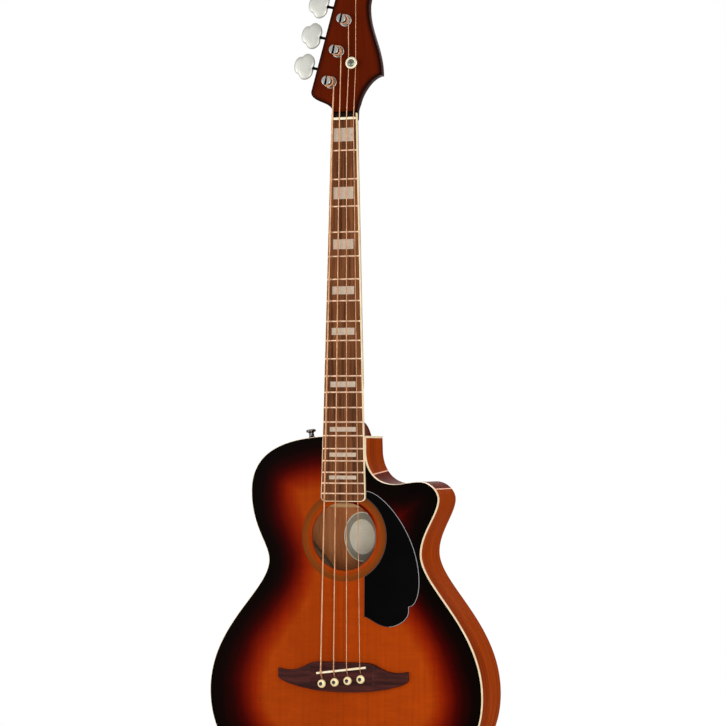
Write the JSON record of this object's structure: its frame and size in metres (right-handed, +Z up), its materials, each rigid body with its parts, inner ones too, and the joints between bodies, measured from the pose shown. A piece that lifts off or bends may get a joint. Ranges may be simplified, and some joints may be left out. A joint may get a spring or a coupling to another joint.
{
  "type": "acoustic bass guitar",
  "caption": "Acoustic bass guitar with a cutaway body, round soundhole, pinned bridge and fretted neck, and worm-geared tuners whose keys turn the string posts.",
  "frame": {"origin": "on the centre line where the fretboard meets the nut, in the plane of the soundboard's front face", "axes": "+Z up the neck towards the headstock, +Y into the body away from the player's view of the soundboard, +X towards the treble side"},
  "size_m": [0.405, 0.1179, 1.1982],
  "materials": {
    "sunburst_top": "glossy, orange-brown fading to black at the edge",
    "mahogany": "glossy red-brown with straight grain",
    "spruce": "bare, pale",
    "rosewood": "satin dark brown",
    "cream_trim": "glossy cream",
    "bone": "polished ivory white",
    "black_plastic": "glossy black",
    "ring_wood": "glossy, darker rings",
    "steel": "plain steel",
    "nickel": "bright plate",
    "brass": "machined",
    "bronze_wire": "bronze-coloured wound wire"
  },
  "bodies": {
    "guitar": {"back_plate": "mahogany", "body_binding": "cream_trim", "bridge": "rosewood", "bridge_pin_a": "bone", "bridge_pin_d": "bone", "bridge_pin_e": "bone", "bridge_pin_g": "bone", "bridge_plate": "rosewood", "fretboard": "rosewood", "fretboard_binding": "cream_trim", "lining_back_bass": "spruce", "lining_back_treble": "spruce", "lining_top_bass": "spruce", "lining_top_treble": "spruce", "neck": "mahogany", "neck_block": "mahogany", "nut": "bone", "pickguard": "black_plastic", "post_bushing_a": "nickel", "post_bushing_d": "nickel", "post_bushing_e": "nickel", "post_bushing_g": "nickel", "rosette": "ring_wood", "saddle": "bone", "side_bass": "mahogany", "side_cutaway": "mahogany", "side_shoulder": "mahogany", "side_treble": "mahogany", "soundboard": "sunburst_top", "strap_button_shoulder": "nickel", "strap_button_tail": "nickel", "string_a": "bronze_wire", "string_d": "bronze_wire", "string_e": "bronze_wire", "string_g": "bronze_wire", "string_retainer": "nickel", "tail_block": "mahogany", "tone_bar_lower": "spruce", "tone_bar_upper": "spruce", "transverse_brace": "spruce", "truss_rod": "steel", "tuner_plate_a": "nickel", "tuner_plate_d": "nickel", "tuner_plate_e": "nickel", "tuner_plate_g": "nickel", "x_brace_bass": "spruce", "x_brace_treble": "spruce"},
    "key_e": {"tuner_key_e": "nickel"},
    "post_e": {"string_post_e": "nickel", "tuner_gear_e": "brass"},
    "key_a": {"tuner_key_a": "nickel"},
    "post_a": {"string_post_a": "nickel", "tuner_gear_a": "brass"},
    "key_d": {"tuner_key_d": "nickel"},
    "post_d": {"string_post_d": "nickel", "tuner_gear_d": "brass"},
    "key_g": {"tuner_key_g": "nickel"},
    "post_g": {"string_post_g": "nickel", "tuner_gear_g": "brass"}
  },
  "joints": [
    {"name": "key_turn_e", "type": "hinge", "parent": "guitar", "child": "key_e", "pos_m": [-0.01918, 0.02505, 0.07111], "axis": [0.9694, 0, -0.2453], "continuous": true},
    {"name": "post_turn_e", "type": "hinge", "parent": "guitar", "child": "post_e", "pos_m": [-0.0231, 0, 0.0556], "axis": [0, 1, 0], "continuous": true},
    {"name": "key_turn_a", "type": "hinge", "parent": "guitar", "child": "key_a", "pos_m": [-0.00814, 0.02505, 0.11474], "axis": [0.9694, 0, -0.2453], "continuous": true},
    {"name": "post_turn_a", "type": "hinge", "parent": "guitar", "child": "post_a", "pos_m": [-0.01206, 0, 0.09923], "axis": [0, 1, 0], "continuous": true},
    {"name": "key_turn_d", "type": "hinge", "parent": "guitar", "child": "key_d", "pos_m": [0.0029, 0.02505, 0.15836], "axis": [0.9694, 0, -0.2453], "continuous": true},
    {"name": "post_turn_d", "type": "hinge", "parent": "guitar", "child": "post_d", "pos_m": [-0.00102, 0, 0.14285], "axis": [0, 1, 0], "continuous": true},
    {"name": "key_turn_g", "type": "hinge", "parent": "guitar", "child": "key_g", "pos_m": [0.01394, 0.02505, 0.20199], "axis": [0.9694, 0, -0.2453], "continuous": true},
    {"name": "post_turn_g", "type": "hinge", "parent": "guitar", "child": "post_g", "pos_m": [0.01002, 0, 0.18648], "axis": [0, 1, 0], "continuous": true}
  ],
  "couplings": [
    {"joint": "post_turn_e", "follows": "key_turn_e", "ratio": -0.05},
    {"joint": "post_turn_a", "follows": "key_turn_a", "ratio": -0.05},
    {"joint": "post_turn_d", "follows": "key_turn_d", "ratio": -0.05},
    {"joint": "post_turn_g", "follows": "key_turn_g", "ratio": -0.05}
  ]
}
